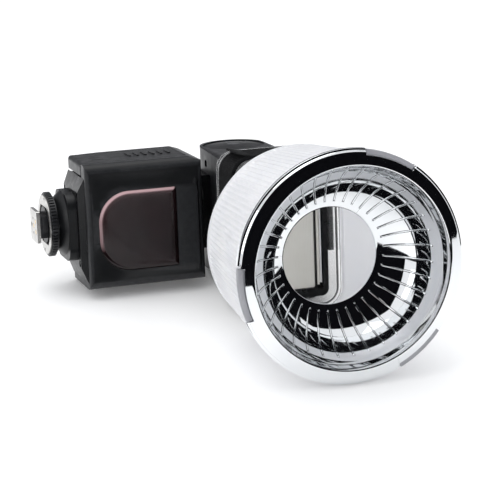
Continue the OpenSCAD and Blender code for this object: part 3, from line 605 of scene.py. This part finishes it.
def strap(materials):
    """Ribbed webbing round the collar, a little slack and pulled askew on the shoe side."""
    outline = []
    half_u, half_v, r, corner = 25.95, 40.65, 9.7, 10
    for cu, cv, start in ((1, 1, 0), (-1, 1, 90), (-1, -1, 180), (1, -1, 270)):
        for k in range(corner + 1):
            a = math.radians(start + 90 * k / corner)
            outline.append((cu * (half_u - r) + r * math.cos(a), cv * (half_v - r) + r * math.sin(a),
                            math.cos(a), math.sin(a)))
        nu, nv = ((-1, 1), (-1, -1), (1, -1), (1, 1))[(start // 90)]
        a = math.radians(start + 90)
        du, dv = math.cos(a), math.sin(a)
        p0 = outline[-1]
        p1 = (nu * (half_u - r) + r * du, nv * (half_v - r) + r * dv)
        for k in range(1, 22):
            t = k / 22
            outline.append((p0[0] + (p1[0] - p0[0]) * t, p0[1] + (p1[1] - p0[1]) * t, du, dv))
    ribs, points = 20, []
    section = [(-11.8, 0.0)]
    for k in range(ribs * 4 + 1):
        w = -11.8 + 23.6 * k / (ribs * 4)
        lift = 1.5 + 0.14 * abs(math.sin(math.pi * k / 4))
        edge = min(1.0, (11.8 - abs(w)) / 0.6)
        section.append((w, lift * (0.35 + 0.65 * math.sqrt(max(0.0, edge)))))
    section.append((11.8, 0.0))
    for u, v, du, dv in outline:
        wave = 0.22 * noise.noise(Vector((u * 0.08, v * 0.08, 3.1)))
        askew = 3.0 * max(0.0, min(1.0, (-u - 15) / 10)) * max(0.0, min(1.0, (36 - v) / 60))
        for w, lift in section:
            out = lift + (wave + 0.16 if lift > 0 else 0.0)
            points.append((PIVOT_X + u + du * out, -67 + w + askew, v + dv * out))
    faces = grid_faces(len(outline), len(section), True, True)
    return piece("strap_webbing", points, faces, "diffuser", materials["strap_fabric"],
                 ["strap"], 60)


def strap_tail(materials):
    """The loose end: a tapered tongue that stands off the shoe-side corner and curls."""
    rows, columns, points = 26, 13, []
    for side in (1, -1):
        for i in range(rows):
            t = i / (rows - 1)
            half = 10.8 * math.sqrt(max(0.0, 1 - max(0.0, (t - 0.55) / 0.46) ** 2)) + 0.2
            u = PIVOT_X - 15.5 - 9.8 * t
            lift = 42.5 + 2.6 * t ** 1.5
            for j in range(columns):
                w = -1 + 2 * j / (columns - 1)
                sag = 0.5 * w * w * t
                thick = 0.62 * side * math.sqrt(max(0.0, 1 - w ** 6)) * (1 if 0 < i < rows - 1 else 0.4)
                points.append((u, -67 + half * w, lift - sag + thick + 0.1 * math.sin(w * 30) * (side > 0)))
    n = rows * columns
    faces = grid_faces(rows, columns, False, False)
    faces += [tuple(v + n for v in reversed(f)) for f in faces]
    ring = [j for j in range(columns)] + [i * columns + columns - 1 for i in range(1, rows)]
    ring += [(rows - 1) * columns + j for j in range(columns - 2, -1, -1)]
    ring += [i * columns for i in range(rows - 2, 0, -1)]
    for k, a in enumerate(ring):
        b = ring[(k + 1) % len(ring)]
        faces.append((a, b, b + n, a + n))
    return piece("strap_end", points, faces, "diffuser", materials["strap_fabric"],
                 ["strap_tail"], 70)


# ---- the window and the lens ---------------------------------------------------------

def sensor_window(materials):
    """Tinted window with a wide polished bevel and a faintly crowned face."""
    u, v, r = (31.65, 77.35), (-25.35, 20.35), (17.85, 1.3)
    levels = [(0.0, -25.0), (0.0, -28.5), (0.1, -28.62), (1.3, -29.5), (1.5, -29.6), (1.8, -29.65),
              (2.3, -29.68), (5.0, -29.7), (10.0, -29.71), (15.0, -29.72)]
    points = []
    for inset, y in levels:
        points += [(x, y, z) for x, z in rounded_rect(u, v, r[0], r[1], inset, 14)]
    n = len(points) // len(levels)
    faces = grid_faces(len(levels), n, False, True)
    faces.append(tuple(range(n)))
    faces.append(tuple(range(len(points) - n, len(points))))
    return piece("window_tinted", points, faces, "flash_body", materials["tinted_window"],
                 ["sensor_window"], 24)


def lens_panel(materials):
    """Ribbed lens: fine prisms run across the head's width."""
    x0, x1, front, back, half = PIVOT_X - 18.4, PIVOT_X + 15.4, -88.3, -86.1, 32.4
    prisms, outline = 34, []
    for k in range(prisms):
        a = x0 + 1.2 + (x1 - x0 - 2.4) * k / prisms
        step = (x1 - x0 - 2.4) / prisms
        outline += [(a, front + 0.45), (a + step * 0.5, front + 0.12), (a + step * 0.97, front + 0.02)]
    outline = [(x0, back), (x0, front), (x0 + 1.1, front)] + outline + [(x1 - 1.1, front), (x1, front),
                                                                       (x1, back)]
    points = [(x, y, z) for z in (-half, half) for x, y in outline]
    n = len(outline)
    faces = grid_faces(2, n, False, True) + [tuple(range(n)), tuple(range(n, 2 * n))]
    return piece("lens_ribbed", points, faces, "head", materials["lens_clear"],
                 ["fresnel_lens"], 20)


# ---- stage, light and camera ---------------------------------------------------------

def plane(name, corners, material):
    mesh = bpy.data.meshes.new(name)
    mesh.from_pydata(corners, [], [(0, 1, 2, 3)])
    mesh.materials.append(material)
    obj = bpy.data.objects.new(name, mesh)
    bpy.context.scene.collection.objects.link(obj)
    return obj


def flag(name, corners, colour):
    """A dark board that only shows in glossy reflections."""
    paint = Shader(name, colour, 0.9)
    paint.put("Specular IOR Level", 0.0)
    obj = plane(name, corners, paint.material)
    obj.visible_camera = obj.visible_diffuse = obj.visible_shadow = False
    obj.visible_transmission = obj.visible_volume_scatter = False


def floor_and_flags():
    """Pale floor, and dark boards placed where the chrome and the black plastic mirror them."""
    z = cad_low.z
    pale = Shader("floor_pale", (0.93, 0.93, 0.93), 0.6)
    pale.put("Emission Color", (1.0, 1.0, 1.0, 1))
    pale.put("Emission Strength", 0.10)
    pale.tint(pale.cloud(300, 2), (0.92, 0.92, 0.92), (0.94, 0.94, 0.94))
    plane("floor", [(-8, -8, z), (8, -8, z), (8, 8, z), (-8, 8, z)], pale.material)
    black = (0.004, 0.004, 0.005)
    flag("flag_floor", [(-3, -4, z + 0.001), (4, -4, z + 0.001), (4, -0.5, z + 0.001),
                        (-3, -0.42, z + 0.001)], black)
    flag("flag_near", [(-0.2, -0.17, z + 0.0006), (0.05, -0.17, z + 0.0006), (0.05, -0.045, z + 0.0006),
                       (-0.2, -0.045, z + 0.0006)], black)
    flag("flag_front", [(-1.7, -1.4, z), (2.6, -1.4, z), (2.6, -1.4, 2.6), (-1.7, -1.4, 2.6)], black)
    flag("flag_right", [(2.6, -1.4, z), (2.0, -0.35, z), (2.0, -0.35, 1.6), (2.6, -1.4, 1.6)], black)
    flag("flag_back", [(-5, 2.2, z), (5, 2.2, z), (5, 2.2, 1.5), (-5, 2.2, 1.5)], (0.22, 0.22, 0.23))


def softbox(name, location, target, size, power):
    light = bpy.data.lights.new(name, "AREA")
    light.shape = "RECTANGLE"
    light.size, light.size_y = size
    light.energy = power
    obj = bpy.data.objects.new(name, light)
    obj.location = location
    obj.rotation_euler = (Vector(target) - Vector(location)).to_track_quat("-Z", "Y").to_euler()
    bpy.context.scene.collection.objects.link(obj)


def studio_light():
    world = bpy.data.worlds.new("studio")
    bpy.context.scene.world = world
    world.use_nodes = True
    background = next(n for n in world.node_tree.nodes if n.type == "BACKGROUND")
    background.inputs["Color"].default_value = (0.97, 0.98, 1.0, 1)
    background.inputs["Strength"].default_value = 1.0
    softbox("overhead", (-0.1, 0.1, 1.1), (0.08, -0.05, 0), (1.2, 0.9), 5)
    softbox("left", (-1.1, -0.3, 0.5), (0.08, -0.05, 0.02), (0.7, 0.7), 2)


def photo_camera():
    """Long lens from the front left, a little above the object."""
    data = bpy.data.cameras.new("camera")
    data.lens = 131.36
    data.sensor_width = 36
    data.clip_start, data.clip_end = 0.05, 40
    camera = bpy.data.objects.new("camera", data)
    camera.location = (-0.1984, -0.984, 0.3185)
    camera.rotation_euler = (math.radians(71.5), 0, math.radians(-18.49))
    bpy.context.scene.collection.objects.link(camera)
    bpy.context.scene.camera = camera
    bpy.context.scene.view_settings.view_transform = "Standard"


MATERIALS = make_materials()
dress_frame(MATERIALS)
reflector(MATERIALS)
diffuser(MATERIALS)
cup_tabs(MATERIALS)
strap(MATERIALS)
strap_tail(MATERIALS)
sensor_window(MATERIALS)
lens_panel(MATERIALS)
floor_and_flags()
studio_light()
photo_camera()
